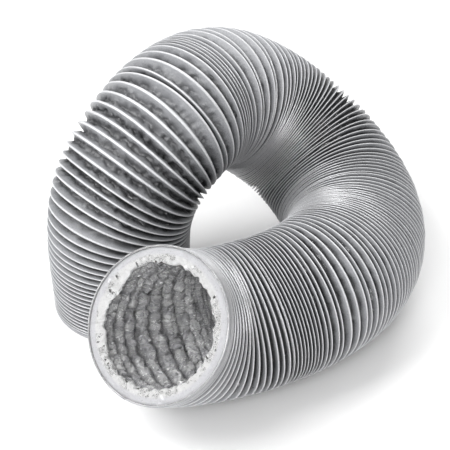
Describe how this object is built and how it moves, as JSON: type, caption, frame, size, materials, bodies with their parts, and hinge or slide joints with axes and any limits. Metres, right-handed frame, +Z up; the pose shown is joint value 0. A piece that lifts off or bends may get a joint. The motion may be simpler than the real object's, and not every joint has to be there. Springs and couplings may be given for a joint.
{
  "type": "flexible duct hose",
  "caption": "Flexible foil-lined duct hose on a wire helix, grey outside, bent into a loose loop with one mouth raised and one standing on the floor.",
  "frame": {"origin": "centre of the footprint, on the surface that the hose stands on", "axes": "+Z up; the near mouth is at -Y, raised off the surface and facing -X, -Y and up; the loop runs round by +X and +Y to the far mouth, which stands on the surface at -X"},
  "size_m": [0.2812, 0.3112, 0.1916],
  "materials": {
    "sleeve_film": "matte grey PVC film drawn over the wire",
    "foil": "crinkled bright foil laminate",
    "spring_wire": "bright drawn spring steel"
  },
  "bodies": {
    "near_end": {"near_foil_ring": "foil", "sleeve_near_end": "sleeve_film", "foil_liner_near_end": "foil", "wire_helix_near_end": "spring_wire"},
    "stretch_01": {"sleeve_01": "sleeve_film", "foil_liner_01": "foil", "wire_helix_01": "spring_wire"},
    "stretch_02": {"sleeve_02": "sleeve_film", "foil_liner_02": "foil", "wire_helix_02": "spring_wire"},
    "stretch_03": {"sleeve_03": "sleeve_film", "foil_liner_03": "foil", "wire_helix_03": "spring_wire"},
    "stretch_04": {"sleeve_04": "sleeve_film", "foil_liner_04": "foil", "wire_helix_04": "spring_wire"},
    "stretch_05": {"sleeve_05": "sleeve_film", "foil_liner_05": "foil", "wire_helix_05": "spring_wire"},
    "stretch_06": {"sleeve_06": "sleeve_film", "foil_liner_06": "foil", "wire_helix_06": "spring_wire"},
    "stretch_07": {"sleeve_07": "sleeve_film", "foil_liner_07": "foil", "wire_helix_07": "spring_wire"},
    "stretch_08": {"sleeve_08": "sleeve_film", "foil_liner_08": "foil", "wire_helix_08": "spring_wire"},
    "stretch_09": {"sleeve_09": "sleeve_film", "foil_liner_09": "foil", "wire_helix_09": "spring_wire"},
    "stretch_10": {"sleeve_10": "sleeve_film", "foil_liner_10": "foil", "wire_helix_10": "spring_wire"},
    "stretch_11": {"sleeve_11": "sleeve_film", "foil_liner_11": "foil", "wire_helix_11": "spring_wire"},
    "stretch_12": {"sleeve_12": "sleeve_film", "foil_liner_12": "foil", "wire_helix_12": "spring_wire"},
    "far_end": {"far_foil_ring": "foil", "sleeve_far_end": "sleeve_film", "foil_liner_far_end": "foil", "wire_helix_far_end": "spring_wire"}
  },
  "joints": [
    {"name": "near_end_pull", "type": "slide", "parent": "stretch_01", "child": "near_end", "axis": [-0.5389, -0.5818, 0.6092], "range_m": [0, 0.1]},
    {"name": "bend_01", "type": "hinge", "parent": "stretch_02", "child": "stretch_01", "pos_m": [-0.02677, -0.06135, 0.00745], "axis": [0.3216, -0.853, -0.4111], "range_deg": [0, 40]},
    {"name": "bend_02", "type": "hinge", "parent": "stretch_03", "child": "stretch_02", "pos_m": [0.05841, -0.10478, 0.05117], "axis": [0.017, -0.0401, 0.9991], "range_deg": [0, 40]},
    {"name": "bend_03", "type": "hinge", "parent": "stretch_04", "child": "stretch_03", "pos_m": [0.11101, -0.06165, 0.05267], "axis": [0.0183, 0.0043, 0.9998], "range_deg": [0, 40]},
    {"name": "bend_04", "type": "hinge", "parent": "stretch_04", "child": "stretch_05", "pos_m": [0.13863, 0.0097, 0.03927], "axis": [-0.2642, 0.0845, -0.9607], "range_deg": [0, 40]},
    {"name": "bend_05", "type": "hinge", "parent": "stretch_05", "child": "stretch_06", "pos_m": [0.12008, 0.08608, 0.03491], "axis": [-0.5812, 0.0352, -0.813], "range_deg": [0, 40]},
    {"name": "bend_06", "type": "hinge", "parent": "stretch_06", "child": "stretch_07", "pos_m": [0.07532, 0.14059, 0.06828], "axis": [-0.6051, 0.0217, -0.7959], "range_deg": [0, 40]},
    {"name": "bend_07", "type": "hinge", "parent": "stretch_07", "child": "stretch_08", "pos_m": [0.01486, 0.15552, 0.11587], "axis": [-0.6127, 0.0376, -0.7894], "range_deg": [0, 40]},
    {"name": "bend_08", "type": "hinge", "parent": "stretch_08", "child": "stretch_09", "pos_m": [-0.02532, 0.11247, 0.17738], "axis": [-0.731, 0.4718, -0.493], "range_deg": [0, 40]},
    {"name": "bend_09", "type": "hinge", "parent": "stretch_09", "child": "stretch_10", "pos_m": [-0.06085, 0.04118, 0.18778], "axis": [-0.7364, 0.6588, -0.1538], "range_deg": [0, 40]},
    {"name": "bend_10", "type": "hinge", "parent": "stretch_10", "child": "stretch_11", "pos_m": [-0.1007, -0.01471, 0.14089], "axis": [-0.7173, 0.6838, 0.1342], "range_deg": [0, 40]},
    {"name": "bend_11", "type": "hinge", "parent": "stretch_11", "child": "stretch_12", "pos_m": [-0.13331, -0.01158, 0.0703], "axis": [-0.4594, 0.8873, 0.0415], "range_deg": [0, 40]},
    {"name": "far_end_pull", "type": "slide", "parent": "stretch_12", "child": "far_end", "axis": [0.0131, -0.004, -0.9999], "range_m": [0, 0.1]}
  ]
}
